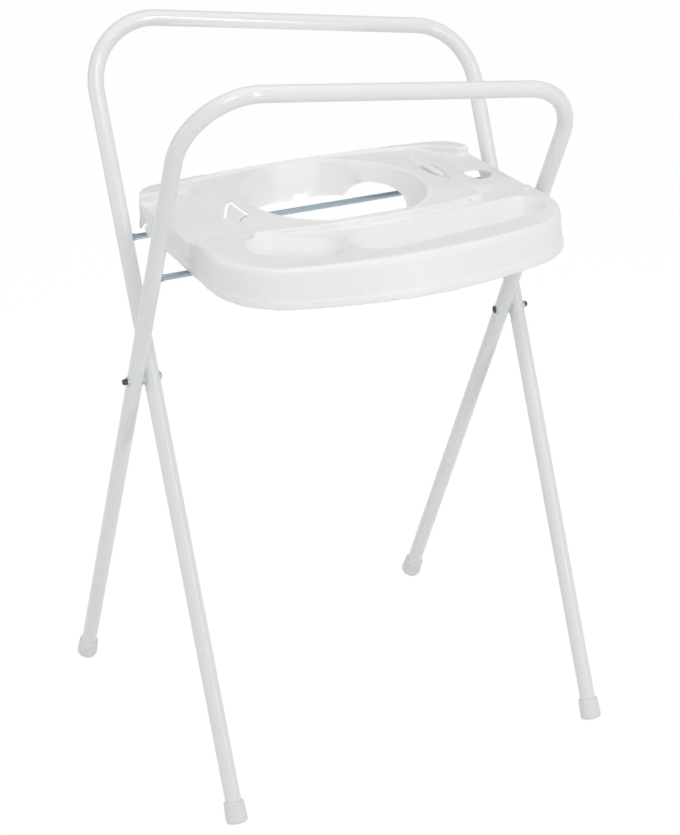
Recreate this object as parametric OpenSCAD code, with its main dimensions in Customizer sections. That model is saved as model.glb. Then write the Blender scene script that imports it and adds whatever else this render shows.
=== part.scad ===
// Folding stand for a baby bath. Two bent-tube frames cross like scissors and turn on one
// bolt at each side. A thin rod joins the legs of each frame, and the moulded tray clips
// onto the rear rod and rests on the front one.
// X runs along the handles, Y points to the back and Z points up. The origin lies on the
// floor, under the middle of the whole stand.

/* [Frames] */
// Outside diameter of the bent steel tube
tube_d = 22; // [20:0.5:24]
// Wall of the steel tube
tube_wall = 1.2; // [1:0.1:1.5]
// Distance between the two legs of one frame, centre to centre
leg_span = 568; // [560:1:590]
// Free space between the two tubes where they cross
cross_gap = 2; // [1.6:0.1:3]
// Distance between the front feet and the back feet
stance = 509.6; // [490:1:530]
// Height of the folding axis above the floor
pivot_h = 562; // [550:1:575]
// Height of the tall left corner of each handle
corner_tall_h = 1005.5; // [985:1:1030]
// Height of the low right corner of each handle
corner_low_h = 932.5; // [915:1:960]
// Bend radius at the middle of the tube
bend_r = 90; // [75:1:100]

/* [Feet] */
// Radius of the slip-on foot cap at its sole
cap_r = 15; // [14.5:0.1:16]
// Radius of the foot cap at its shoulder
cap_top_r = 14; // [13.6:0.1:14.4]
// Length of the foot cap along the leg, from the floor
cap_len = 35; // [32:1:45]
// Where the steel tube ends inside the cap, measured up the leg
cap_sole = 9; // [8:0.5:12]
// Radius of the round edge of the sole
cap_edge_r = 5; // [4:0.5:6]

/* [Rods] */
// Diameter of the plated steel rods
rod_d = 8; // [7:0.5:9]
// Height of the rods above the floor
rod_h = 732.6; // [725:1:740]
// Length of the upset collar at each end of a rod
collar_len = 3; // [2:0.5:5]
// How far the upset collar stands out from the rod
collar_proud = 0.9; // [0.6:0.1:1.5]

/* [Pivots] */
// Diameter of the pivot bolts
bolt_d = 5; // [5:0.5:6]
// Diameter of the button head, on the inner side
head_d = 11; // [10:0.5:13]
// Height of the button head
head_h = 2.2; // [1.8:0.1:3]
// Width of the socket in the button head across its flats
socket_flats = 3; // [2.5:0.5:4]
// Width of the hexagon nut, on the outer side, across its flats
nut_flats = 8; // [8:0.5:10]
// Height of the hexagon part of the nut
nut_h = 4; // [3.5:0.5:5]
// Height of the locking collar of the nut
nut_collar_h = 1.2; // [0.8:0.1:2]
// Diameter of the saddle washers
washer_d = 12; // [11.5:0.5:14]
// Thickness of a saddle washer at its middle
washer_t = 1; // [0.8:0.1:1.5]
// Diameter of the saddle spacers between the tubes
spacer_d = 16; // [14:0.5:18]
// Thickness of one saddle spacer at its rim
spacer_rim = 3.8; // [3:0.1:4.4]

/* [Fits] */
// Radial clearance of the bolts and the rods in their holes
pin_fit = 0.08; // [0.05:0.01:0.1]
// Radial clearance between the foot cap and the tube
cap_fit = 0.05; // [0.03:0.01:0.1]
// Gap between faces that slide on each other
slide_gap = 0.3; // [0.2:0.05:0.5]
// Gap between parts that are clamped together
clamp_gap = 0.05; // [0.03:0.01:0.1]

/* [Tray] */
// Overall width of the tray
tray_w = 500; // [490:1:504]
// Front edge of the tray top, measured from the middle
tray_front = 264; // [255:1:270]
// Back edge of the tray, measured from the middle
tray_back = 128; // [124:1:135]
// Bow radius of the front edge
front_bow_r = 590; // [520:5:700]
// Radius of the front corners
front_corner_r = 95; // [85:1:105]
// Bow radius of the back edge
back_bow_r = 1500; // [1300:10:1800]
// Radius of the back corners
back_corner_r = 45; // [35:1:55]
// Wall of the moulding
wall = 3; // [2.4:0.1:3.4]
// Height of the seat above the middle of the rods
seat_up = 52.4; // [48:0.2:56]
// How far the front shelf and the left ledge lie below the seat
shelf_drop = 9; // [7:0.5:11]
// How far the right plateau lies below the seat
plateau_drop = 6; // [4:0.5:7]
// How far the back rim stands above the seat
rim_rise = 4; // [3:0.5:6]
// Lower edge of the apron at the back, above the middle of the rods
apron_up = 9.4; // [8:0.2:12]
// How much lower the apron reaches at the front edge
apron_fall = 11; // [8:0.5:14]
// Outward lean of the front apron
apron_lean = 13; // [9:0.5:15]
// Width of the thickened band along the lower edge of the apron
band_h = 9.5; // [7:0.5:12]
// How far the band stands out
band_out = 1; // [0.6:0.1:1.5]
// Radius of the round opening in the seat
opening_r = 125; // [118:1:128]
// Straight front edge of the opening, measured from the middle
opening_front = 110; // [104:1:112]
// Straight back edge of the opening, measured from the middle
opening_back = 119; // [112:1:120]
// How far the collar round the opening reaches below the middle of the rods
collar_drop = 1; // [0:0.2:3]
// Height of the arches in the collar that clear the rods, above the middle of the rods
arch_up = 22.5; // [18:0.5:26]
// Depth of the small soap dish
small_dish_depth = 13; // [9:0.5:17]
// Depth of the long dish
long_dish_depth = 23; // [16:0.5:25]
// Radius of the round hole at the right
side_hole_r = 20; // [16:0.5:22]
// Height of the rim round the hole, below the plateau
side_hole_depth = 6; // [4:1:12]

/* [Latch] */
// Length of the lens-shaped finger recess
recess_len = 115; // [105:1:125]
// Width of the lens-shaped finger recess
recess_w = 24; // [22:0.5:28]
// Depth of the finger recess
recess_depth = 4; // [3:0.1:5]
// Travel of the latch
latch_travel = 20; // [14:1:22]
// Length of the ribbed grip
grip_len = 54; // [46:1:58]
// Width of the ribbed grip
grip_w = 10; // [8:0.5:11]
// Number of ribs on the grip
rib_count = 5; // [3:1:7]

/* [Hidden] */
$fn = 96;

// Which way a frame leans, and which side a leg is on
LEANS_BACK = 1;
LEANS_FORWARD = -1;
RIGHT = 1;
LEFT = -1;
// A cut runs this far past the face that it opens
past = 1;

// The frames lean by this angle from upright
lean = atan(stance / 2 / pivot_h);
// Each frame is moved sideways by this much, one to each side
frame_shift = (tube_d + cross_gap) / 2;
tube_r = tube_d / 2;
// A bend is thinner than the straight tube by this much, and the straight tube laps into it
bend_draw = 0.2;
bend_lap = 1;
rod_r = rod_d / 2;
bolt_hole_r = bolt_d / 2 + pin_fit;
rod_hole_r = rod_r + pin_fit;
// The steel tube ends this far up the leg, inside its cap
tube_start = cap_sole;
// The sole stands square to the leg, so a cap rests on its inner edge. The edge is pressed
// flat by this much. Its round edge is centred this far up the leg and off the leg's middle.
edge_press = 0.7;
edge_ring_r = cap_r - cap_edge_r;
edge_s = (cap_edge_r - edge_press + edge_ring_r * sin(lean)) / cos(lean);
// Distances along a leg, from the floor
function up_leg(height) = height / cos(lean);
pivot_s = up_leg(pivot_h);
rod_s = up_leg(rod_h);
tall_s = up_leg(corner_tall_h);
low_s = up_leg(corner_low_h);
// The handle slopes down to the right, so its two bends turn by different angles
handle_slope = atan((tall_s - low_s) / leg_span);
tall_turn = 90 + handle_slope;
low_turn = 90 - handle_slope;
tall_tangent = bend_r * tan(tall_turn / 2);
low_tangent = bend_r * tan(low_turn / 2);
handle_len = leg_span / cos(handle_slope) - tall_tangent - low_tangent;
tall_bend_s = tall_s - tall_tangent;
low_bend_s = low_s - low_tangent;

// Middle of the outer and the inner tube at a pivot, and their free faces
outer_leg_x = leg_span / 2 + frame_shift;
inner_leg_x = leg_span / 2 - frame_shift;
head_seat_x = inner_leg_x - tube_r - washer_t - clamp_gap;
nut_seat_x = outer_leg_x + tube_r + washer_t + clamp_gap;
nut_end_x = nut_seat_x + nut_h + nut_collar_h;
bolt_tail = 0.6;

// Tray levels, measured from the middle of the rods
shelf_up = seat_up - shelf_drop;
plateau_up = seat_up - plateau_drop;
rim_up = seat_up + rim_rise;
// The block round the dishes is as high as the seat
block_up = seat_up - 0.5;
block_edge_r = 8;
apron_low = apron_up - apron_fall;
body_low = apron_low - 4;
// The block ends here, and the left ledge and the right plateau begin
block_back = -95;
// Round bay in the back edge of the block, at the right
bay = [192, -60];
bay_r = 62;
// Bowed front edge of the seat, measured from the middle
seat_front = 125;
// Hollow top of the block: its sides and its front rise to the edge
hollow_at = seat_front - 13;
hollow_side_r = pow(tray_w / 2, 2) / 2 / (shelf_drop - 0.5);
hollow_front_r = pow(tray_front - hollow_at, 2) / 2 / (shelf_drop - 0.5);
// Raised seat: its left edge slopes, its right end is a ramp down to the plateau
seat_left = -159;
seat_foot_left = -169;
seat_right = 168;
seat_front_r = 850;
ramp_x = 178;
ramp_end_x = 206;
ramp_front_y = -54;
// Step of the left side wall behind the block
recess_in = 3;
// The back rim ends at the right and at the left
rim_end_right = 60;
rim_end_left = 80;
rim_inner_corner_r = 90;
rim_inner_bow_r = 850;
// Dishes as circles that one skin wraps: [x, y, radius]
small_dish = [[-157, -151, 37], [-117, -175, 38]];
long_dish = [[-22, -182, 43], [195, -160, 30]];
dish_flare = 5;
dish_draw = 24;
side_hole = [214, -15];
// Straight notch in the collar behind the opening: from and to along X, and its height
collar_notch = [-4, 22];
collar_notch_up = 5.6;
// The arches lie on the rods. This is half the width of an arch at the middle of the rods.
arch_half = 39;
arch_r = (pow(arch_half, 2) + pow(arch_up, 2)) / 2 / arch_up;
recess_at = [160, 23.5];
latch_rest_y = recess_at.y - latch_travel / 2 - 1.5;
// Long ribs under the seat, which carry the saddles
rib_x = 184;
rib_t = 3;
saddle_w = 14;
saddle_len = 22;
rib_low = rod_r + 4;
// The saddles reach below the middle of the rods, except behind the front rod
saddle_low = -rod_r / 2;
lip_up = 0.75 * rod_r;
// Both rods lie this far in front of and behind the folding axis
rod_y = stance / 2 * (rod_h / pivot_h - 1);
// Sloping shoulder at the left edge of the seat, and the slits that free its click tab
tab_x = -143;
tab_y_from = -21;
tab_y_to = 8;
tab_foot_r = 29;
tab_top_r = 8;
slit_w = 3.2;
slit_from = [-147, -42];
slit_to = [-147, 17];
slit_foot = [-171, -22];
slit_end = [-162, -52];
// Notch in the lower edge of each side wall, in front of the rear rod
notch_y = 66;
notch_half = 15;
notch_up = 24;
// The tray reaches further forward than the feet reach back, so the folding axis lies
// a little behind the middle of the whole stand
front_reach = tray_front + (block_up - apron_low) * tan(apron_lean) + band_out;
back_reach = stance / 2 - edge_s * sin(lean) + edge_ring_r * cos(lean) + cap_edge_r;
fold_y = (front_reach - back_reach) / 2;
// Parts of the latch below its grip
neck_w = 6;
neck_len = 30;
keeper_w = 16;
keeper_len = 46;
keeper_t = 2.5;
rib_proud = 1.4;
grip_rib_r = 2.2;

function arc(middle, r, from, to, steps) = [for (i = [0 : steps])
    let (a = from + (to - from) * i / steps) middle + r * [cos(a), sin(a)]];

// Outline with straight sides, a bowed front and back, and round corners, going once round
function bowed(w, front, front_r, front_k, back, back_r, back_k) =
    let (
        front_y = front_r - front,
        front_dy = sqrt(pow(front_r - front_k, 2) - pow(w - front_k, 2)),
        front_a = -atan2(front_dy, w - front_k),
        back_y = back - back_r,
        back_dy = sqrt(pow(back_r - back_k, 2) - pow(w - back_k, 2)),
        back_a = atan2(back_dy, w - back_k),
        right = concat(
            arc([0, front_y], front_r, -90, front_a, 8),
            arc([w - front_k, front_y - front_dy], front_k, front_a, 0, 10),
            arc([w - back_k, back_y + back_dy], back_k, 0, back_a, 8),
            arc([0, back_y], back_r, back_a, 90, 6))
    )
    concat(right, [for (i = [len(right) - 2 : -1 : 1]) [-right[i].x, right[i].y]]);

// Plan of the tray at height z, drawn in by inset
function tray_plan(z, inset) =
    let (lean_out = (block_up - z) * tan(apron_lean))
    bowed(tray_w / 2 - inset, tray_front + lean_out - inset, front_bow_r - inset,
        front_corner_r - inset, tray_back - inset, back_bow_r - inset, back_corner_r - inset);

// Puts a frame, drawn flat with its legs along Y, at its lean and on its feet
module stand_frame(side) {
    translate([side * frame_shift, fold_y - side * stance / 2, 0])
        rotate([90 - side * lean, 0, 0])
            children();
}

module cross_hole(x, s, r, len) {
    translate([x, s, 0])
        rotate([0, 90, 0])
            cylinder(r = r, h = len, center = true);
}

// Straight stretch of the tube path along X, which runs a little way into the bends
module straight_run(r, len, from_bend, to_bend) {
    translate([-from_bend, 0, 0])
        rotate([0, 90, 0])
            cylinder(r = r, h = len + from_bend + to_bend);
}

// Bend of the tube path, starting at the X axis. Bending draws the tube in by a hair.
module bend_run(r, turn) {
    rotate_extrude(angle = turn)
        translate([bend_r, 0])
            circle(r = r - bend_draw);
}

// Round bar of radius r along the middle of the tube: leg, bend, handle, bend, leg
module tube_path(r, start) {
    translate([-leg_span / 2, start, 0])
        rotate([0, 0, 90])
            straight_run(r, tall_bend_s - start, 0, bend_lap);
    translate([-leg_span / 2 + bend_r, tall_bend_s, 0])
        rotate([0, 0, 180 - tall_turn])
            bend_run(r, tall_turn);
    translate([-leg_span / 2, tall_s, 0])
        rotate([0, 0, -handle_slope])
            translate([tall_tangent, 0, 0])
                straight_run(r, handle_len, bend_lap, bend_lap);
    translate([leg_span / 2 - bend_r, low_bend_s, 0])
        bend_run(r, low_turn);
    translate([leg_span / 2, start, 0])
        rotate([0, 0, 90])
            straight_run(r, low_bend_s - start, 0, bend_lap);
}

// One tube, bent at two corners, with holes for the pivot bolts and the rod
module bent_tube() {
    difference() {
        tube_path(tube_r, tube_start);
        tube_path(tube_r - tube_wall, tube_start - past);
        for (x = [-leg_span / 2, leg_span / 2]) {
            cross_hole(x, pivot_s, bolt_hole_r, tube_d + 2 * past);
        }
        cross_hole(0, rod_s, rod_hole_r, leg_span);
    }
}

module rear_handle_frame() {
    color("whitesmoke")
        stand_frame(LEANS_BACK)
            bent_tube();
}

module front_handle_frame() {
    color("whitesmoke")
        stand_frame(LEANS_FORWARD)
            bent_tube();
}

// Slip-on cap, turned round the leg: flat sole with a round edge, and a round shoulder at
// the mouth
module cap_body() {
    shoulder_r = 3.2;
    shoulder_turn = 68;
    rotate_extrude()
        polygon(concat(
            [[0, edge_s - cap_edge_r]],
            arc([edge_ring_r, edge_s], cap_edge_r, -90, 0, 8),
            arc([cap_top_r - shoulder_r, cap_len - shoulder_r], shoulder_r, 0, shoulder_turn, 6),
            [[tube_r + cap_fit, cap_len - 0.2], [tube_r + cap_fit, tube_start], [0, tube_start]]));
}

module foot(side, hand) {
    color("gainsboro")
        difference() {
            stand_frame(side)
                translate([hand * leg_span / 2, 0, 0])
                    rotate([-90, 0, 0])
                        cap_body();
            translate([hand * leg_span / 2, fold_y - side * stance / 2, -cap_len / 2])
                cube([4 * cap_len, 4 * cap_len, cap_len], center = true);
        }
}

module foot_front_left() {
    foot(LEANS_BACK, LEFT);
}

module foot_front_right() {
    foot(LEANS_BACK, RIGHT);
}

module foot_rear_left() {
    foot(LEANS_FORWARD, LEFT);
}

module foot_rear_right() {
    foot(LEANS_FORWARD, RIGHT);
}

// Rod from the middle of one leg to the middle of the other, with an upset collar that
// stops each leg
module cross_rod(side) {
    color("lightslategray")
        stand_frame(side) {
            cross_hole(0, rod_s, rod_r, leg_span);
            for (hand = [-1, 1]) {
                cross_hole(hand * (leg_span / 2 - tube_r - clamp_gap - collar_len / 2), rod_s,
                    rod_r + collar_proud, collar_len);
            }
        }
}

module rear_rod() {
    cross_rod(LEANS_BACK);
}

module front_rod() {
    cross_rod(LEANS_FORWARD);
}

// Puts a turned part on the folding axis, with its own Z axis pointing outwards
module on_pivot(hand) {
    translate([0, fold_y, pivot_h])
        rotate([0, hand * 90, 0])
            children();
}

// Bolt through both tubes: button head with a hexagon socket inside, end at the outer nut
module pivot_bolt(hand) {
    dome_r = (pow(head_h, 2) + pow(head_d / 2, 2)) / 2 / head_h;
    color("slategray")
        on_pivot(hand)
            difference() {
                union() {
                    translate([0, 0, head_seat_x - head_h / 2])
                        cylinder(d = bolt_d, h = nut_end_x + bolt_tail - head_seat_x + head_h / 2);
                    translate([0, 0, head_seat_x])
                        mirror([0, 0, 1])
                            rotate_extrude()
                                intersection() {
                                    translate([0, head_h - dome_r])
                                        circle(r = dome_r);
                                    square([head_d, head_h]);
                                }
                }
                translate([0, 0, head_seat_x - head_h - past])
                    cylinder(d = socket_flats / cos(30), h = past + 0.6 * head_h, $fn = 6);
            }
}

module pivot_bolt_left() {
    pivot_bolt(LEFT);
}

module pivot_bolt_right() {
    pivot_bolt(RIGHT);
}

module lock_nut(hand) {
    color("slategray")
        on_pivot(hand)
            difference() {
                union() {
                    translate([0, 0, nut_seat_x])
                        cylinder(d = nut_flats / cos(30), h = nut_h, $fn = 6);
                    translate([0, 0, nut_seat_x])
                        cylinder(d = nut_flats - 1, h = nut_h + nut_collar_h);
                }
                translate([0, 0, nut_seat_x - past])
                    cylinder(r = bolt_hole_r, h = nut_h + nut_collar_h + 2 * past);
            }
}

module lock_nut_left() {
    lock_nut(LEFT);
}

module lock_nut_right() {
    lock_nut(RIGHT);
}

// Washer with a hollow face that fits the round of the tube
module saddle_washer(side, hand, outward) {
    color("silver")
        stand_frame(side)
            translate([hand * leg_span / 2, pivot_s, 0])
                difference() {
                    rotate([0, outward * 90, 0])
                        cylinder(d = washer_d, h = tube_r + washer_t);
                    rotate([90, 0, 0])
                        cylinder(r = tube_r + clamp_gap, h = 2 * washer_d, center = true);
                    rotate([0, 90, 0])
                        cylinder(r = bolt_hole_r, h = 4 * tube_d, center = true);
                }
}

module head_washer_left() {
    saddle_washer(LEANS_BACK, LEFT, RIGHT);
}

module head_washer_right() {
    saddle_washer(LEANS_FORWARD, RIGHT, LEFT);
}

module nut_washer_left() {
    saddle_washer(LEANS_FORWARD, LEFT, LEFT);
}

module nut_washer_right() {
    saddle_washer(LEANS_BACK, RIGHT, RIGHT);
}

// Plastic disc between the crossing tubes: its hollow face hugs one tube, and its flat face
// turns on the flat face of the spacer on the other tube
module saddle_spacer(side, hand) {
    color("lightgray")
        stand_frame(side)
            translate([hand * leg_span / 2, pivot_s, 0])
                difference() {
                    rotate([0, -side * 90, 0])
                        translate([0, 0, frame_shift - clamp_gap / 2 - spacer_rim])
                            cylinder(d = spacer_d, h = spacer_rim);
                    rotate([90, 0, 0])
                        cylinder(r = tube_r + clamp_gap, h = 2 * spacer_d, center = true);
                    rotate([0, 90, 0])
                        cylinder(r = bolt_hole_r, h = 4 * tube_d, center = true);
                }
}

module spacer_rear_frame_left() {
    saddle_spacer(LEANS_BACK, LEFT);
}

module spacer_rear_frame_right() {
    saddle_spacer(LEANS_BACK, RIGHT);
}

module spacer_front_frame_left() {
    saddle_spacer(LEANS_FORWARD, LEFT);
}

module spacer_front_frame_right() {
    saddle_spacer(LEANS_FORWARD, RIGHT);
}

// A block that reaches far past the tray, from height z upwards
module above(x, y, z, w, d) {
    translate([x, y, z])
        cube([w, d, seat_up]);
}

// Plan of the raised seat, drawn in by inset
module seat_plan(inset) {
    half_a = asin((-seat_foot_left - inset) / seat_front_r);
    right_a = asin((seat_right - inset) / seat_front_r);
    middle = [0, seat_front_r - seat_front];
    polygon(concat(
        [[seat_foot_left + inset, tray_back]],
        arc(middle, seat_front_r - inset, -90 - half_a, -90 + right_a, 12),
        [[seat_right - inset, ramp_front_y + inset], [ramp_end_x, ramp_front_y + inset],
            [ramp_end_x, tray_back]]));
}

// The top of the block is hollow: it falls from its edges to the foot of the seat
module block_hollow(inset) {
    intersection() {
        translate([0, tray_back, shelf_up - inset + hollow_side_r])
            rotate([90, 0, 0])
                cylinder(r = hollow_side_r, h = 2 * tray_front, $fn = 400);
        translate([0, -hollow_at, shelf_up - inset + hollow_front_r])
            rotate([0, 90, 0])
                cylinder(r = hollow_front_r, h = tray_w, center = true, $fn = 400);
        translate([-tray_w / 2, -tray_front, shelf_up - inset - past])
            cube([tray_w, tray_front - hollow_at, 2 * shelf_drop]);
    }
}

// The left side wall steps in behind the block, down to the band
module side_recess(inset) {
    difference() {
        translate([-tray_w / 2 + recess_in + inset - tray_w, block_back - inset, 0])
            cube([tray_w, rim_end_left - block_back + 2 * inset, 2 * seat_up]);
        below_apron_edge(band_h - inset);
    }
}

// Solid outer form of the tray. Drawn in by the wall, it is also the space inside.
module tray_form(inset) {
    top = block_up - inset;
    difference() {
        hull() {
            for (level = [[body_low - inset, 0], [top - block_edge_r, 0],
                    [top - 0.3 * block_edge_r, 0.25 * block_edge_r], [top, block_edge_r]]) {
                translate([0, 0, level[0]])
                    linear_extrude(0.01)
                        polygon(tray_plan(level[0], inset + level[1]));
            }
        }
        above(-tray_w, block_back - inset, shelf_up - inset, tray_w + seat_left + wall, tray_w);
        above(seat_left, block_back - inset, plateau_up - inset, 2 * tray_w, tray_w);
        side_recess(inset);
        translate([bay.x, bay.y, plateau_up - inset])
            cylinder(r = bay_r + inset, h = seat_up);
        block_hollow(inset);
    }
    intersection() {
        translate([0, 0, plateau_up - shelf_drop - inset])
            linear_extrude(seat_up)
                seat_plan(inset);
        rotate([90, 0, 0])
            linear_extrude(2 * tray_w, center = true)
                polygon([[seat_foot_left, 0], [seat_foot_left, shelf_up - inset],
                    [seat_left, seat_up - inset], [ramp_x, seat_up - inset],
                    [ramp_end_x, plateau_up - inset], [ramp_end_x, 0]]);
        linear_extrude(2 * seat_up)
            polygon(tray_plan(block_up, inset));
    }
}

// Thickened band along the lower edge
module apron_band() {
    hull() {
        for (z = [body_low, apron_up + band_h + 4]) {
            translate([0, 0, z])
                linear_extrude(0.01)
                    polygon(tray_plan(z, -band_out));
        }
    }
}

// Everything below a sloping line: level at the back, falling to the front
module below_apron_edge(raise) {
    rotate([90, 0, 90])
        linear_extrude(2 * tray_w, center = true)
            polygon([[-tray_front, apron_low + raise], [0, apron_up + raise],
                [tray_w, apron_up + raise], [tray_w, -tray_w], [-tray_w, -tray_w],
                [-tray_w, apron_up + raise - (apron_up - apron_low) * tray_w / tray_front]]);
}

// Rim along the back edge, wide at its corners and thin in the middle
module back_rim() {
    translate([0, 0, shelf_up - wall])
        linear_extrude(rim_up - shelf_up + wall)
            difference() {
                polygon(tray_plan(block_up, 0));
                polygon(bowed(tray_w / 2 - wall, tray_front, front_bow_r, rim_inner_corner_r,
                    tray_back - wall, rim_inner_bow_r, rim_inner_corner_r));
                translate([0, rim_end_right - tray_w])
                    square([tray_w, tray_w]);
                translate([-tray_w, rim_end_left - tray_w])
                    square([tray_w, tray_w]);
            }
}

// Bowl-shaped dish: each level is [height above the shelf, how far the side is drawn in]
module dish(circles, depth, grow) {
    hull() {
        for (level = [[2 * dish_flare, -dish_flare], [0, 0], [-0.5 * depth, 0.3 * dish_draw],
                [-0.83 * depth, 0.6 * dish_draw], [-depth, dish_draw]]) {
            for (c = circles) {
                translate([c[0], c[1], shelf_up + level[0] - grow])
                    cylinder(r = c[2] - level[1] + grow, h = 0.01, $fn = 32);
            }
        }
    }
}

// Walls of both dishes, which end halfway up the wall of the tray's top
module dish_walls() {
    difference() {
        union() {
            dish(small_dish, small_dish_depth, wall);
            dish(long_dish, long_dish_depth, wall);
        }
        above(-tray_w, -tray_w, block_up - wall / 2, 2 * tray_w, tray_w);
        block_hollow(wall / 2);
        translate([bay.x, bay.y, plateau_up - wall / 2])
            cylinder(r = bay_r + wall / 2, h = seat_up);
    }
}

module opening_plan(grow) {
    intersection() {
        circle(r = opening_r + grow);
        translate([-opening_r * 2, -opening_front - grow])
            square([opening_r * 4, opening_front + opening_back + 2 * grow]);
    }
}

// Plan with two curved sides that meet in points
module lens_plan(grow) {
    side_r = (pow(recess_len / 2, 2) + pow(recess_w / 2, 2)) / recess_w;
    intersection() {
        translate([recess_w / 2 - side_r, 0])
            circle(r = side_r + grow, $fn = 200);
        translate([side_r - recess_w / 2, 0])
            circle(r = side_r + grow, $fn = 200);
    }
}

module lens_block(z, h, grow) {
    translate([recess_at.x, recess_at.y, z])
        linear_extrude(h)
            lens_plan(grow);
}

// Slot with round ends along Y
module slot_block(w, len, h) {
    straight_len = len - w;
    translate([-w / 2, -straight_len / 2, 0])
        cube([w, straight_len, h]);
    for (y = [-1, 1]) {
        translate([0, y * straight_len / 2, 0])
            cylinder(d = w, h = h, $fn = 48);
    }
}

// Rib along Y with a saddle over each rod. The rear saddle snaps round its rod, and the
// front one is open at its back, where the front rod leaves it as the stand folds.
module saddle_rib(x) {
    translate([x - rib_t / 2, -opening_front, rib_low])
        cube([rib_t, opening_front + opening_back - wall, shelf_up - rib_low]);
    translate([x - saddle_w / 2, rod_y - saddle_len / 2, saddle_low])
        cube([saddle_w, saddle_len, shelf_up - saddle_low]);
    translate([x - saddle_w / 2, -rod_y - saddle_len / 2, lip_up])
        cube([saddle_w, saddle_len, shelf_up - lip_up]);
    translate([x - saddle_w / 2, -rod_y - saddle_len / 2, saddle_low])
        cube([saddle_w, saddle_len / 2, shelf_up]);
}

// Round seats of the rods in the saddles
module rod_seats() {
    translate([0, rod_y, 0])
        rotate([0, 90, 0])
            cylinder(r = rod_hole_r, h = tray_w, center = true);
    translate([0, -rod_y, 0])
        rotate([0, 90, 0])
            cylinder(r = rod_r + slide_gap, h = tray_w, center = true);
}

// Shoulder round the click tab: a slope with a cone at each end, down to z
module tab_shoulder(z) {
    drop = seat_up - shelf_up;
    for (y = [tab_y_from, tab_y_to]) {
        translate([tab_x, y, z])
            cylinder(r1 = tab_foot_r, r2 = tab_top_r, h = drop);
    }
    translate([tab_x, tab_y_to, z])
        rotate([90, 0, 0])
            linear_extrude(tab_y_to - tab_y_from)
                polygon([[-tab_foot_r, 0], [-tab_top_r, drop], [0, drop], [0, 0]]);
}

// Cut with straight sides from one point of the plan to another
module slit(from, to) {
    translate([from.x, from.y, shelf_up - 3 * wall])
        rotate([0, 0, atan2(to.y - from.y, to.x - from.x)])
            translate([-slit_w / 2, -slit_w / 2, 0])
                cube([norm(to - from) + slit_w, slit_w, seat_up]);
}

// The slits leave the click tab joined at its foot only
module tab_slits() {
    slit(slit_from, slit_to);
    slit(slit_to, slit_foot);
    slit(slit_from, slit_end);
}

module side_notches() {
    rotate([90, 0, 90])
        linear_extrude(2 * tray_w, center = true)
            polygon([[notch_y - notch_half, apron_up - past], [notch_y, notch_up],
                [notch_y + notch_half, apron_up - past]]);
}

module tray_skin() {
    difference() {
        union() {
            tray_form(0);
            back_rim();
            intersection() {
                apron_band();
                below_apron_edge(band_h);
            }
            tab_shoulder(shelf_up);
        }
        tray_form(wall);
        tab_shoulder(shelf_up - 1.2 * wall);
        below_apron_edge(0);
        side_notches();
    }
}

// Collar round the opening, with an arch over each place where a rod passes through it. It
// also ends above a rod that runs along it.
module collar() {
    arch_turn = asin(rod_y / opening_r);
    rod_room = rod_r + wall;
    difference() {
        translate([0, 0, -collar_drop])
            linear_extrude(seat_up - wall / 2 + collar_drop)
                difference() {
                    opening_plan(wall);
                    opening_plan(0);
                }
        for (turn = [arch_turn, 180 - arch_turn, 180 + arch_turn, -arch_turn]) {
            rotate([0, 0, turn])
                translate([0, 0, arch_up - arch_r])
                    rotate([0, 90, 0])
                        cylinder(r = arch_r, h = tray_w);
        }
        for (y = [rod_y, -rod_y]) {
            translate([-tray_w, y - rod_room, -seat_up])
                cube([2 * tray_w, 2 * rod_room, seat_up + rod_room]);
        }
        translate([collar_notch[0], 0, -seat_up])
            cube([collar_notch[1] - collar_notch[0], tray_w, seat_up + collar_notch_up]);
    }
}

module tray_body() {
    difference() {
        union() {
            tray_skin();
            dish_walls();
            collar();
            translate([side_hole.x, side_hole.y, plateau_up - side_hole_depth])
                cylinder(r = side_hole_r + wall, h = side_hole_depth - wall / 2);
            lens_block(seat_up - recess_depth - wall, recess_depth + wall / 2, wall);
            saddle_rib(rib_x);
            saddle_rib(-rib_x);
        }
        dish(small_dish, small_dish_depth, 0);
        dish(long_dish, long_dish_depth, 0);
        translate([0, 0, -seat_up])
            linear_extrude(3 * seat_up)
                opening_plan(0);
        translate([side_hole.x, side_hole.y, -seat_up])
            cylinder(r = side_hole_r, h = 3 * seat_up);
        lens_block(seat_up - recess_depth, recess_depth + past, 0);
        translate([recess_at.x, latch_rest_y + latch_travel / 2, seat_up - recess_depth - 2 * wall])
            slot_block(neck_w + 2 * slide_gap, neck_len + latch_travel + 2 * slide_gap, 3 * wall);
        rod_seats();
        tab_slits();
    }
}

module tray() {
    color("white")
        translate([0, fold_y, rod_h])
            tray_body();
}

// Thumb slide: ribbed grip in the finger recess, neck through its slot, keeper plate below
module bath_latch() {
    floor_up = seat_up - recess_depth;
    grip_up = floor_up + slide_gap;
    keeper_up = floor_up - wall - slide_gap;
    rib_pitch = (grip_len - grip_w) / (rib_count - 1);
    color("white")
        translate([recess_at.x, fold_y + latch_rest_y, rod_h]) {
            translate([0, 0, grip_up])
                slot_block(grip_w, grip_len, seat_up - grip_up);
            translate([0, 0, keeper_up - keeper_t])
                slot_block(neck_w, neck_len, grip_up - keeper_up + 2 * keeper_t);
            translate([0, 0, keeper_up - keeper_t])
                slot_block(keeper_w, keeper_len, keeper_t);
            for (i = [0 : rib_count - 1]) {
                translate([0, (i - (rib_count - 1) / 2) * rib_pitch, seat_up + rib_proud - grip_rib_r])
                    rotate([0, 90, 0])
                        cylinder(r = grip_rib_r, h = grip_w * 0.8, center = true, $fn = 32);
            }
        }
}

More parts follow.
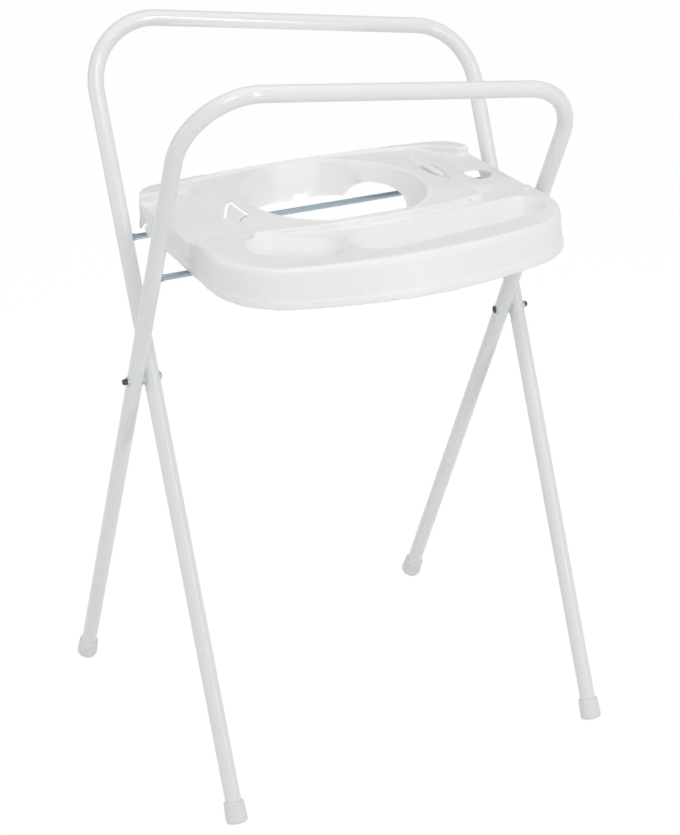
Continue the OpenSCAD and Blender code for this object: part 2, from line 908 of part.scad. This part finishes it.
rear_handle_frame();
front_handle_frame();
foot_front_left();
foot_front_right();
foot_rear_left();
foot_rear_right();
rear_rod();
front_rod();
pivot_bolt_left();
pivot_bolt_right();
lock_nut_left();
lock_nut_right();
head_washer_left();
head_washer_right();
nut_washer_left();
nut_washer_right();
spacer_rear_frame_left();
spacer_rear_frame_right();
spacer_front_frame_left();
spacer_front_frame_right();
tray();
bath_latch();
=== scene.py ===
import math

import bpy
from mathutils import Matrix, Vector


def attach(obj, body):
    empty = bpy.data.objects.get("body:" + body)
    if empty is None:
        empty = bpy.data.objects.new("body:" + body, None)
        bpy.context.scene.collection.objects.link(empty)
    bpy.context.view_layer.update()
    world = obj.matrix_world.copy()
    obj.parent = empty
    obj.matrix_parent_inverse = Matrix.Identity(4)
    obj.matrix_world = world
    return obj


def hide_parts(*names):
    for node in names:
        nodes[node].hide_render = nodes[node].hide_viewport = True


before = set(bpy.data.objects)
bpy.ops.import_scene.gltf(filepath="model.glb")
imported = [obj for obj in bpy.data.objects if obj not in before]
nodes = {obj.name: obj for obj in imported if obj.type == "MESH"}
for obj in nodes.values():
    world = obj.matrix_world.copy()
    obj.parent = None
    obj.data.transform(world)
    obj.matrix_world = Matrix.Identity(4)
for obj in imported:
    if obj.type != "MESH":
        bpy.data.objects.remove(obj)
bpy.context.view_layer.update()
scene = bpy.context.scene
scene.view_settings.view_transform = "Standard"

# The camera stands to the left in front of the stand, at the height of a person's eyes, and
# looks down by 25 degrees. The lens is a long one, as for a catalogue picture.
LOOK_AT = Vector((0.010767, 0.006133, 0.442784))
CAMERA_TURN = -0.4728
CAMERA_RISE = 0.4381
CAMERA_AWAY = 2.97677
CAMERA_ROLL = 0.0037
FILM_WIDTH_MM = 36
LENS_MM = 90.68
FARTHEST_SEEN = 60

back = Vector((math.sin(CAMERA_TURN) * math.cos(CAMERA_RISE),
               -math.cos(CAMERA_TURN) * math.cos(CAMERA_RISE), math.sin(CAMERA_RISE)))
across = Vector((0, 0, 1)).cross(back).normalized()
upward = back.cross(across)
tilted = Matrix((across, upward, back)).transposed() @ Matrix.Rotation(CAMERA_ROLL, 3, "Z")
bpy.ops.object.camera_add(location=LOOK_AT + back * CAMERA_AWAY)
camera = bpy.context.object
camera.name = "photo_camera"
camera.rotation_euler = tilted.to_euler()
camera.data.sensor_width = FILM_WIDTH_MM
camera.data.lens = LENS_MM
camera.data.clip_end = FARTHEST_SEEN
scene.camera = camera


# The floor is a wide sheet of matt white board. The camera and anything that mirrors it see
# it as plain white, with a faint shadow where the stand keeps the light off.
FLOOR_SIZE = 40
BOARD_WHITE = "#F3F5F6"
BOARD_GLOW = 1.045
GLOW_SHARE = 0.9


def linear(code):
    """An sRGB hex colour as the linear colour that a shader takes."""
    values = [int(code[i:i + 2], 16) / 255 for i in (1, 3, 5)]
    return [v / 12.92 if v <= 0.04045 else ((v + 0.055) / 1.055) ** 2.4 for v in values] + [1]


def add_node(tree, kind, settings=None, **inputs):
    """Adds a node. Settings are its own options, and inputs are values or sockets to link."""
    node = tree.nodes.new(kind)
    for option, value in (settings or {}).items():
        setattr(node, option, value)
    for key, value in inputs.items():
        socket = node.inputs[int(key[1:]) if key[0] == "i" and key[1:].isdigit() else key.replace("_", " ")]
        if isinstance(value, bpy.types.NodeSocket):
            tree.links.new(value, socket)
        else:
            socket.default_value = value
    return node


def new_material(name):
    """An empty material with its node tree, ready for a surface."""
    material = bpy.data.materials.new(name)
    material.use_nodes = True
    material.node_tree.nodes.clear()
    return material, material.node_tree


bpy.ops.object.select_all(action="DESELECT")
bpy.ops.mesh.primitive_plane_add(size=FLOOR_SIZE, location=(0, 0, 0))
floor = bpy.context.object
floor.name = "floor"
board, tree = new_material("matt_white_board")
rays = add_node(tree, "ShaderNodeLightPath")
mirrored = add_node(tree, "ShaderNodeMath", {"operation": "MAXIMUM"},
                    i0=rays.outputs["Is Camera Ray"], i1=rays.outputs["Is Glossy Ray"])
seen = add_node(tree, "ShaderNodeMath", {"operation": "MAXIMUM"},
                i0=mirrored.outputs[0], i1=rays.outputs["Is Transmission Ray"])
share = add_node(tree, "ShaderNodeMath", {"operation": "MULTIPLY"}, i0=seen.outputs[0],
                 i1=GLOW_SHARE)
matt = add_node(tree, "ShaderNodeBsdfDiffuse", Color=linear(BOARD_WHITE))
glow = add_node(tree, "ShaderNodeEmission", Color=(1, 1, 1, 1), Strength=BOARD_GLOW)
both = add_node(tree, "ShaderNodeMixShader", Fac=share.outputs[0],
                i1=matt.outputs[0], i2=glow.outputs[0])
add_node(tree, "ShaderNodeOutputMaterial", Surface=both.outputs[0])
floor.data.materials.append(board)

# The studio is an even white tent. It lights the stand softly from all round, a little
# bluish, and the camera sees it as plain white.
TENT_COLOUR = "#FBFCFC"
TENT_LIGHT = 0.46
TENT_SEEN = 1.03
world = bpy.data.worlds.new("white_tent")
scene.world = world
world.use_nodes = True
tree = world.node_tree
tree.nodes.clear()
rays = add_node(tree, "ShaderNodeLightPath")
tent_light = add_node(tree, "ShaderNodeBackground", Color=linear(TENT_COLOUR), Strength=TENT_LIGHT)
tent_white = add_node(tree, "ShaderNodeBackground", Color=(1, 1, 1, 1), Strength=TENT_SEEN)
both = add_node(tree, "ShaderNodeMixShader", Fac=rays.outputs["Is Camera Ray"],
                i1=tent_light.outputs[0], i2=tent_white.outputs[0])
add_node(tree, "ShaderNodeOutputWorld", Surface=both.outputs[0])

# Softboxes: a large one overhead, one in front, one to fill from the left, and a tall one to
# the right of the camera that draws a thin bright line down each tube. A low lamp with a
# honeycomb throws a narrow beam up into the round opening. Each has its place, what it aims
# at, its width and height, its watts and its spread in degrees.
for lamp_name, place, aim, width, height, watts, spread in (
        ("overhead_softbox", (0.3, -0.2, 3.2), (0, 0, 0.7), 2.6, 2.6, 18, 180),
        ("front_softbox", (-0.8, -2.6, 3.2), (0, 0, 0.7), 1.2, 1.2, 26, 180),
        ("tall_softbox", (1.1, -3.0, 1.7), (0, 0, 0.6), 0.22, 2.4, 19, 180),
        ("fill_softbox", (-2.8, 0.6, 1.4), (0, 0, 0.6), 1.6, 1.6, 12, 180),
        ("low_lamp", (0.0, -0.2, 0.26), (0, 0.11, 0.76), 0.2, 0.2, 0.07, 45)):
    bpy.ops.object.light_add(type="AREA", location=place)
    lamp = bpy.context.object
    lamp.name = lamp_name
    lamp.data.shape = "RECTANGLE"
    lamp.data.size = width
    lamp.data.size_y = height
    lamp.data.energy = watts
    lamp.data.spread = math.radians(spread)
    lamp.visible_camera = False
    lamp.rotation_euler = (Vector(place) - Vector(aim)).to_track_quat("Z", "Y").to_euler()

# The two handle frames are 22 mm steel tube, each bent at two corners in one plane, cleaned
# and stoved with white enamel. Both have the same bends. One leans back, the other forward.
TUBE_RADIUS = 0.011
LEG_SPAN = 0.568
STANCE = 0.5096
PIVOT_HEIGHT = 0.562
TALL_CORNER = 1.0055
LOW_CORNER = 0.9325
BEND_RADIUS = 0.09
FRAME_SHIFT = 0.012
FOLD_Y = 0.00613272
TUBE_START = 0.009
TUBE_SIDES = 40
TALL_BEND_STEPS = 26
LOW_BEND_STEPS = 22
MERGE_WITHIN = 0.00001
SMOOTH_BELOW = math.radians(40)
lean = math.atan(STANCE / 2 / PIVOT_HEIGHT)
tall_corner = TALL_CORNER / math.cos(lean)
low_corner = LOW_CORNER / math.cos(lean)
slope = math.atan((tall_corner - low_corner) / LEG_SPAN)
tall_turn = math.pi / 2 + slope
low_turn = math.pi / 2 - slope
tall_tangent = BEND_RADIUS * math.tan(tall_turn / 2)
low_tangent = BEND_RADIUS * math.tan(low_turn / 2)
tall_bend = tall_corner - tall_tangent
low_bend = low_corner - low_tangent
handle = LEG_SPAN / math.cos(slope) - tall_tangent - low_tangent

bpy.ops.object.select_all(action="DESELECT")
bpy.ops.mesh.primitive_circle_add(vertices=TUBE_SIDES, radius=TUBE_RADIUS, fill_type="NGON",
                                  location=(-LEG_SPAN / 2, TUBE_START, 0),
                                  rotation=(math.pi / 2, 0, 0))
flat_tube = bpy.context.object
bpy.ops.object.transform_apply(location=True, rotation=True, scale=True)
bpy.ops.object.mode_set(mode="EDIT")
bpy.ops.mesh.select_all(action="SELECT")
bpy.ops.mesh.extrude_region_move(TRANSFORM_OT_translate={"value": (0, tall_bend - TUBE_START, 0)})
bpy.ops.mesh.spin(steps=TALL_BEND_STEPS, angle=tall_turn,
                  center=(BEND_RADIUS - LEG_SPAN / 2, tall_bend, 0), axis=(0, 0, 1))
bpy.ops.mesh.extrude_region_move(TRANSFORM_OT_translate={
    "value": (handle * math.cos(slope), -handle * math.sin(slope), 0)})
bpy.ops.mesh.spin(steps=LOW_BEND_STEPS, angle=low_turn,
                  center=(LEG_SPAN / 2 - BEND_RADIUS, low_bend, 0), axis=(0, 0, 1))
bpy.ops.mesh.extrude_region_move(TRANSFORM_OT_translate={"value": (0, TUBE_START - low_bend, 0)})
bpy.ops.mesh.select_all(action="SELECT")
bpy.ops.mesh.remove_doubles(threshold=MERGE_WITHIN)
bpy.ops.mesh.normals_make_consistent(inside=False)
bpy.ops.object.mode_set(mode="OBJECT")
bpy.ops.object.shade_smooth_by_angle(angle=SMOOTH_BELOW)

# Stoved enamel: a hard, glossy white skin about 0.08 mm thick. It has a faint orange peel,
# drawn here 6 mm wide so that it shows, and grey comes through a little where it is thin.
enamel, tree = new_material("stoved_white_enamel")
where = add_node(tree, "ShaderNodeTexCoord")
cloud = add_node(tree, "ShaderNodeTexNoise", Vector=where.outputs["Object"], Scale=9.0, Detail=3.0)
tone = add_node(tree, "ShaderNodeMix", {"data_type": "RGBA"}, Factor=cloud.outputs["Fac"])
tone.inputs[6].default_value = linear("#ECEDED")
tone.inputs[7].default_value = linear("#F0F0F0")
peel = add_node(tree, "ShaderNodeTexNoise", Vector=where.outputs["Object"], Scale=170.0, Detail=1.0)
dents = add_node(tree, "ShaderNodeBump", Strength=0.06, Distance=0.0003, Height=peel.outputs["Fac"])
surface = add_node(tree, "ShaderNodeBsdfPrincipled", Base_Color=tone.outputs[2], Roughness=0.13,
                   IOR=1.5, Normal=dents.outputs[0])
add_node(tree, "ShaderNodeOutputMaterial", Surface=surface.outputs[0])
flat_tube.data.materials.append(enamel)

for side, node, body in ((1, "rear_handle_frame", "rear_frame"),
                         (-1, "front_handle_frame", "front_frame")):
    bpy.ops.object.select_all(action="DESELECT")
    tube = flat_tube.copy()
    tube.data = flat_tube.data.copy()
    tube.name = node + "_tube"
    scene.collection.objects.link(tube)
    tube.select_set(True)
    bpy.context.view_layer.objects.active = tube
    tube.rotation_euler = (math.pi / 2 - side * lean, 0, 0)
    tube.location = (side * FRAME_SHIFT, FOLD_Y - side * STANCE / 2, 0)
    bpy.ops.object.transform_apply(location=True, rotation=True, scale=True)
    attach(tube, body)
    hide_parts(node)
bpy.data.objects.remove(flat_tube)

# The foot caps are slipped over the tube ends. They are moulded from soft white
# polyethylene, so they are matt, and slightly greyer than the tray.
def give_finish(finish, names):
    """Gives solids of the frame a finish in place of their plain one."""
    for name in names:
        nodes[name].data.materials.clear()
        nodes[name].data.materials.append(finish)


cap_plastic, tree = new_material("moulded_polyethylene")
where = add_node(tree, "ShaderNodeTexCoord")
grain = add_node(tree, "ShaderNodeTexNoise", Vector=where.outputs["Object"], Scale=900.0, Detail=2.0)
dents = add_node(tree, "ShaderNodeBump", Strength=0.15, Distance=0.0002, Height=grain.outputs["Fac"])
surface = add_node(tree, "ShaderNodeBsdfPrincipled", Base_Color=linear("#EAEAEA"), Roughness=0.5,
                   IOR=1.51, Normal=dents.outputs[0])
add_node(tree, "ShaderNodeOutputMaterial", Surface=surface.outputs[0])
give_finish(cap_plastic, ("foot_front_left", "foot_front_right", "foot_rear_left", "foot_rear_right"))

# The rods are drawn steel, plated with bright zinc, which looks a little blue. Drawing
# leaves streaks along them, here about 2 mm wide so that they show.
zinc, tree = new_material("bright_zinc_plate")
where = add_node(tree, "ShaderNodeTexCoord")
along = add_node(tree, "ShaderNodeMapping", Vector=where.outputs["Object"], Scale=(3.0, 420.0, 420.0))
streak = add_node(tree, "ShaderNodeTexNoise", Vector=along.outputs[0], Scale=1.0, Detail=3.0)
tone = add_node(tree, "ShaderNodeMix", {"data_type": "RGBA"}, Factor=streak.outputs["Fac"])
tone.inputs[6].default_value = linear("#6E8391")
tone.inputs[7].default_value = linear("#C3D0D8")
surface = add_node(tree, "ShaderNodeBsdfPrincipled", Base_Color=tone.outputs[2], Metallic=1.0,
                   Roughness=0.3)
add_node(tree, "ShaderNodeOutputMaterial", Surface=surface.outputs[0])
give_finish(zinc, ("rear_rod", "front_rod"))

# The pivot bolts and their lock nuts are steel with a dark passivated plating.
dark_plate, tree = new_material("dark_passivated_steel")
where = add_node(tree, "ShaderNodeTexCoord")
cloud = add_node(tree, "ShaderNodeTexNoise", Vector=where.outputs["Object"], Scale=400.0, Detail=2.0)
tone = add_node(tree, "ShaderNodeMix", {"data_type": "RGBA"}, Factor=cloud.outputs["Fac"])
tone.inputs[6].default_value = linear("#3C474C")
tone.inputs[7].default_value = linear("#66747B")
surface = add_node(tree, "ShaderNodeBsdfPrincipled", Base_Color=tone.outputs[2], Metallic=1.0,
                   Roughness=0.32)
add_node(tree, "ShaderNodeOutputMaterial", Surface=surface.outputs[0])
give_finish(dark_plate, ("pivot_bolt_left", "pivot_bolt_right", "lock_nut_left", "lock_nut_right"))

# The saddle washers under the bolt heads and nuts are pressed from bright plated steel.
bright_plate, tree = new_material("bright_plated_washer")
where = add_node(tree, "ShaderNodeTexCoord")
cloud = add_node(tree, "ShaderNodeTexNoise", Vector=where.outputs["Object"], Scale=300.0, Detail=2.0)
tone = add_node(tree, "ShaderNodeMix", {"data_type": "RGBA"}, Factor=cloud.outputs["Fac"])
tone.inputs[6].default_value = linear("#AEB8BC")
tone.inputs[7].default_value = linear("#D2DADD")
surface = add_node(tree, "ShaderNodeBsdfPrincipled", Base_Color=tone.outputs[2], Metallic=1.0,
                   Roughness=0.35)
add_node(tree, "ShaderNodeOutputMaterial", Surface=surface.outputs[0])
give_finish(bright_plate, ("head_washer_left", "head_washer_right", "nut_washer_left",
                           "nut_washer_right"))

# The spacers between the crossing tubes are turned from light grey nylon.
nylon, tree = new_material("light_grey_nylon")
where = add_node(tree, "ShaderNodeTexCoord")
cloud = add_node(tree, "ShaderNodeTexNoise", Vector=where.outputs["Object"], Scale=250.0, Detail=2.0)
tone = add_node(tree, "ShaderNodeMix", {"data_type": "RGBA"}, Factor=cloud.outputs["Fac"])
tone.inputs[6].default_value = linear("#C6CBCD")
tone.inputs[7].default_value = linear("#CDD2D3")
surface = add_node(tree, "ShaderNodeBsdfPrincipled", Base_Color=tone.outputs[2], Roughness=0.45,
                   IOR=1.53)
add_node(tree, "ShaderNodeOutputMaterial", Surface=surface.outputs[0])
give_finish(nylon, ("spacer_rear_frame_left", "spacer_rear_frame_right", "spacer_front_frame_left",
                    "spacer_front_frame_right"))

# The tray is one moulding of white polypropylene, about 3 mm thick. The mould was finely
# eroded, which gives a satin skin with a grain of about 0.5 mm. The wall inside the opening
# is painted a little whiter: painted light, in place of the light that the hollow keeps off it.
OPENING_EDGE = 0.131
OPENING_INSIDE = 0.127
polypropylene, tree = new_material("moulded_polypropylene")
where = add_node(tree, "ShaderNodeTexCoord")
cloud = add_node(tree, "ShaderNodeTexNoise", Vector=where.outputs["Object"], Scale=7.0, Detail=2.0)
tone = add_node(tree, "ShaderNodeMix", {"data_type": "RGBA"}, Factor=cloud.outputs["Fac"])
tone.inputs[6].default_value = linear("#F0F0F0")
tone.inputs[7].default_value = linear("#F3F3F3")
grain = add_node(tree, "ShaderNodeTexNoise", Vector=where.outputs["Object"], Scale=1800.0, Detail=1.0)
dents = add_node(tree, "ShaderNodeBump", Strength=0.12, Distance=0.0001, Height=grain.outputs["Fac"])
# Painted light: within the radius of the opening's wall the colour turns whiter, standing in for light that
# the hollow keeps off the wall.
split = add_node(tree, "ShaderNodeSeparateXYZ", Vector=where.outputs["Object"])
flat = add_node(tree, "ShaderNodeCombineXYZ", X=split.outputs[0], Y=split.outputs[1])
reach = add_node(tree, "ShaderNodeVectorMath", {"operation": "LENGTH"}, i0=flat.outputs[0])
painted_light_mask = add_node(tree, "ShaderNodeMapRange", Value=reach.outputs["Value"], From_Min=OPENING_EDGE,
                 From_Max=OPENING_INSIDE, To_Min=0.0, To_Max=1.0)
bright = add_node(tree, "ShaderNodeMix", {"data_type": "RGBA"}, Factor=painted_light_mask.outputs[0])
tree.links.new(tone.outputs[2], bright.inputs[6])
bright.inputs[7].default_value = linear("#F8F8F8")
surface = add_node(tree, "ShaderNodeBsdfPrincipled", Base_Color=bright.outputs[2], Roughness=0.38,
                   IOR=1.49, Subsurface_Weight=0.6, Subsurface_Scale=0.004,
                   Subsurface_Radius=(1.0, 1.0, 1.0), Normal=dents.outputs[0])
add_node(tree, "ShaderNodeOutputMaterial", Surface=surface.outputs[0])
give_finish(polypropylene, ("bath_latch",))

bpy.ops.object.select_all(action="DESELECT")
moulding = nodes["tray"].copy()
moulding.data = nodes["tray"].data.copy()
moulding.name = "tray_moulding"
moulding.parent = None
scene.collection.objects.link(moulding)
moulding.matrix_world = nodes["tray"].matrix_world.copy()
moulding.select_set(True)
bpy.context.view_layer.objects.active = moulding
bpy.ops.object.transform_apply(location=True, rotation=True, scale=True)
bpy.ops.object.mode_set(mode="EDIT")
bpy.ops.mesh.select_all(action="SELECT")
bpy.ops.mesh.remove_doubles(threshold=MERGE_WITHIN)
bpy.ops.object.mode_set(mode="OBJECT")

# Each cutter is a plain solid: what it is, its place seen from the pivots, its turn in
# degrees, its size, and whether it cuts or fills. ledge_slope takes the top off a hollow ridge.
# ledge_fill closes it from below but starts too far back, so a slit 5 mm wide stays open there.
GRID = 0.0015
FACES_KEPT = 0.3
CUT = "DIFFERENCE"
FILL = "UNION"
ARCH_SIZE = (0.041, 0.096, 0.06)
for cut_name, kind, place, turn, size, action in (
        ("arch_right_rear", "CYLINDER", (0.11, 0.069, 0.735), (0, 90, 32), ARCH_SIZE, CUT),
        ("arch_left_rear", "CYLINDER", (-0.11, 0.069, 0.735), (0, 90, 148), ARCH_SIZE, CUT),
        ("arch_left_front", "CYLINDER", (-0.11, -0.069, 0.735), (0, 90, 212), ARCH_SIZE, CUT),
        ("arch_right_front", "CYLINDER", (0.11, -0.069, 0.735), (0, 90, 328), ARCH_SIZE, CUT),
        ("thin_hole_edge", "CYLINDER", (0.214, -0.015, 0.7608), (0, 0, 0), (0.0476, 0.0476, 0.03), CUT),
        ("side_wall_arch", "CYLINDER", (0.249, 0.052, 0.735), (0, 90, 0), (0.06, 0.06, 0.026), CUT),
        ("gap_behind_tab", "CUBE", (-0.127, 0.014, 0.763), (0, 0, 0), (0.014, 0.054, 0.022), CUT),
        ("gap_beside_tab", "CUBE", (-0.1175, 0.05, 0.7585), (0, 0, -27), (0.018, 0.05, 0.031), CUT),
        ("ledge_fill", "CUBE", (-0.203, -0.099, 0.7745), (0, 0, 0), (0.07, 0.02, 0.007), FILL),
        ("ledge_end_fill", "CUBE", (-0.166, -0.101, 0.7775), (0, 0, 0), (0.012, 0.018, 0.013), FILL),
        ("ledge_slope", "CUBE", (-0.201, -0.1085, 0.7901), (-14, 3, 0), (0.064, 0.032, 0.02), CUT),
        ("corner_fill", "CUBE", (-0.2445, -0.093, 0.766), (0, 0, 0), (0.013, 0.034, 0.026), FILL),
        ("corner_groove", "CYLINDER", (-0.2575, -0.0895, 0.776), (0, 0, 0), (0.022, 0.022, 0.048), CUT),
        ("rim_end", "CUBE", (0.24, 0.055, 0.791), (0, 0, 0), (0.06, 0.028, 0.0244), CUT),
        ("ramp_shoulder", "SPHERE", (0.17, -0.061, 0.776), (0, 0, 0), (0.088, 0.058, 0.0182), FILL),
        ("slit_along_seat", "CUBE", (-0.1465, -0.0106, 0.776), (0, 0, 90), (0.066, 0.0056, 0.03), CUT),
        ("slit_to_the_foot", "CUBE", (-0.159, -0.0026, 0.776), (0, 0, 58.5), (0.048, 0.0036, 0.03), CUT)):
    at = (place[0], place[1] + FOLD_Y, place[2])
    if kind == "CYLINDER":
        bpy.ops.mesh.primitive_cylinder_add(vertices=96, radius=0.5, depth=1, location=at)
    elif kind == "SPHERE":
        bpy.ops.mesh.primitive_uv_sphere_add(segments=64, ring_count=32, radius=0.5, location=at)
    else:
        bpy.ops.mesh.primitive_cube_add(size=1, location=at)
    cutter = bpy.context.object
    cutter.name = cut_name
    cutter.rotation_euler = [math.radians(angle) for angle in turn]
    cutter.scale = size
    cut = moulding.modifiers.new(cut_name, "BOOLEAN")
    cut.operation = action
    cut.object = cutter
    bpy.context.view_layer.objects.active = moulding
    bpy.ops.object.modifier_apply(modifier=cut.name)
    bpy.data.objects.remove(cutter)
bpy.ops.object.select_all(action="DESELECT")
moulding.select_set(True)
bpy.context.view_layer.objects.active = moulding
remesh = moulding.modifiers.new("even_quads", "REMESH")
remesh.mode = "VOXEL"
remesh.voxel_size = GRID
bpy.ops.object.modifier_apply(modifier=remesh.name)

# Mould edges that run along a free rim or a slit stay tight. The lip of the opening, the
# dishes, the ramp and the ledge are rounded more. Each has its rounding, and the two corners
# of the box that holds it, seen from the pivots.
EVEN_ROUNDING = 4
ROUNDED = (
    ("opening_lip", 16, (-0.137, -0.09, 0.77), (0.137, 0.13, 0.8)),
    ("bowls", 90, (-0.19, -0.3, 0.745), (0.22, -0.128, 0.7735)),
    ("ramp", 30, (0.15, -0.09, 0.757), (0.225, -0.03, 0.8)),
    ("ledge", 36, (-0.238, -0.13, 0.757), (-0.164, -0.08, 0.8)))
for region, repeats, low, high in ROUNDED:
    inside = [v.index for v in moulding.data.vertices
              if low[0] < v.co.x < high[0] and low[1] < v.co.y - FOLD_Y < high[1]
              and low[2] < v.co.z < high[2]]
    moulding.vertex_groups.new(name=region).add(inside, 1.0, "REPLACE")
for region, repeats in [("", EVEN_ROUNDING)] + [rounding[:2] for rounding in ROUNDED]:
    smooth = moulding.modifiers.new("rounding", "SMOOTH")
    smooth.factor = 0.5
    smooth.iterations = repeats
    smooth.vertex_group = region
    bpy.ops.object.modifier_apply(modifier=smooth.name)
thin = moulding.modifiers.new("fewer_faces", "DECIMATE")
thin.ratio = FACES_KEPT
bpy.ops.object.modifier_apply(modifier=thin.name)
bpy.ops.object.shade_smooth()
moulding.data.materials.clear()
moulding.data.materials.append(polypropylene)
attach(moulding, "tray")
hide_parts("tray")
